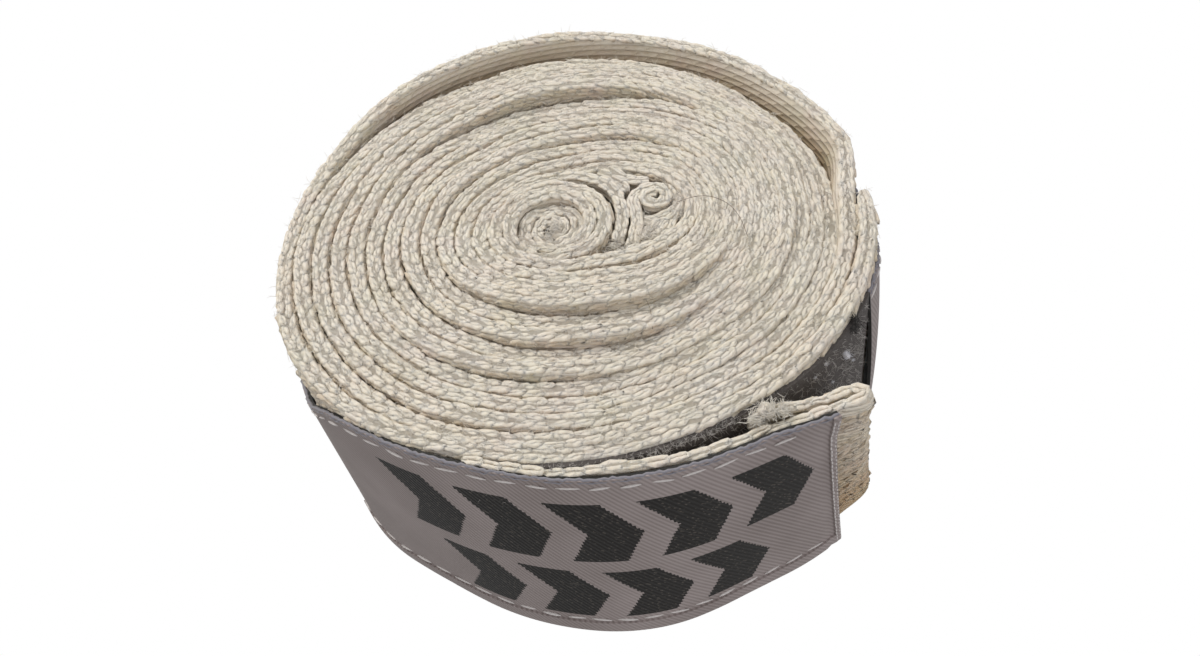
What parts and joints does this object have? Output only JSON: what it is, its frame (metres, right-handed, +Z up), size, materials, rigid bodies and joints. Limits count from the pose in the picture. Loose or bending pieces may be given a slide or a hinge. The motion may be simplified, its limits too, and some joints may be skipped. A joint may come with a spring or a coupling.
{
  "type": "hand wrap",
  "caption": "Rolled elastic cotton boxing hand wrap standing on its edge, held shut by a hook and loop strap with a woven label, a pull tab and a thumb loop.",
  "frame": {"origin": "on the floor under the middle of the roll, on the band's lower edge", "axes": "+Z up along the roll axis; the label faces -Y"},
  "size_m": [0.1024, 0.1038, 0.05],
  "materials": {
    "cotton_band": "undyed knitted cotton",
    "loop_felt": "dark grey brushed loop pile",
    "hook_tape": "black nylon hook tape",
    "label_cloth": "mauve grey twill",
    "pale_thread": "pale sewing thread",
    "dark_thread": "dark sewing thread"
  },
  "bodies": {
    "roll": {"knitted_band": "cotton_band", "loop_tape": "loop_felt", "loop_tape_stitching": "dark_thread", "thumb_loop": "cotton_band", "thumb_loop_bartack": "pale_thread", "root_hem": "hook_tape", "root_label": "label_cloth", "root_stitching": "pale_thread"},
    "strap_1": {"hook_tape_1": "hook_tape", "label_1": "label_cloth", "label_stitching_1": "pale_thread"},
    "strap_2": {"hook_tape_2": "hook_tape", "label_2": "label_cloth", "label_stitching_2": "pale_thread"},
    "strap_3": {"hook_tape_3": "hook_tape", "label_3": "label_cloth", "label_stitching_3": "pale_thread"},
    "strap_4": {"hook_tape_4": "hook_tape", "label_4": "label_cloth", "label_stitching_4": "pale_thread"},
    "strap_tip": {"hook_tape_tip": "hook_tape", "label_tip": "label_cloth", "label_tip_stitching": "pale_thread", "pull_tab": "cotton_band", "pull_tab_stitching": "pale_thread"}
  },
  "joints": [
    {"name": "strap_peel_1", "type": "hinge", "parent": "roll", "child": "strap_1", "pos_m": [0.05022, -0.00886, 0.025], "axis": [0, 0, -1], "range_deg": [0, 55]},
    {"name": "strap_peel_2", "type": "hinge", "parent": "strap_1", "child": "strap_2", "pos_m": [0.02925, 0.04178, 0.025], "axis": [0, 0, -1], "range_deg": [0, 55]},
    {"name": "strap_peel_3", "type": "hinge", "parent": "strap_2", "child": "strap_3", "pos_m": [-0.0255, 0.04417, 0.025], "axis": [0, 0, -1], "range_deg": [0, 55]},
    {"name": "strap_peel_4", "type": "hinge", "parent": "strap_3", "child": "strap_4", "pos_m": [-0.05081, -0.00445, 0.025], "axis": [0, 0, -1], "range_deg": [0, 55]},
    {"name": "tip_peel", "type": "hinge", "parent": "strap_4", "child": "strap_tip", "pos_m": [-0.01744, -0.04792, 0.025], "axis": [0, 0, -1], "range_deg": [0, 55]}
  ],
  "couplings": [
    {"joint": "strap_peel_2", "follows": "strap_peel_1", "ratio": 1},
    {"joint": "strap_peel_3", "follows": "strap_peel_1", "ratio": 1},
    {"joint": "strap_peel_4", "follows": "strap_peel_1", "ratio": 1},
    {"joint": "tip_peel", "follows": "strap_peel_1", "ratio": 1}
  ]
}
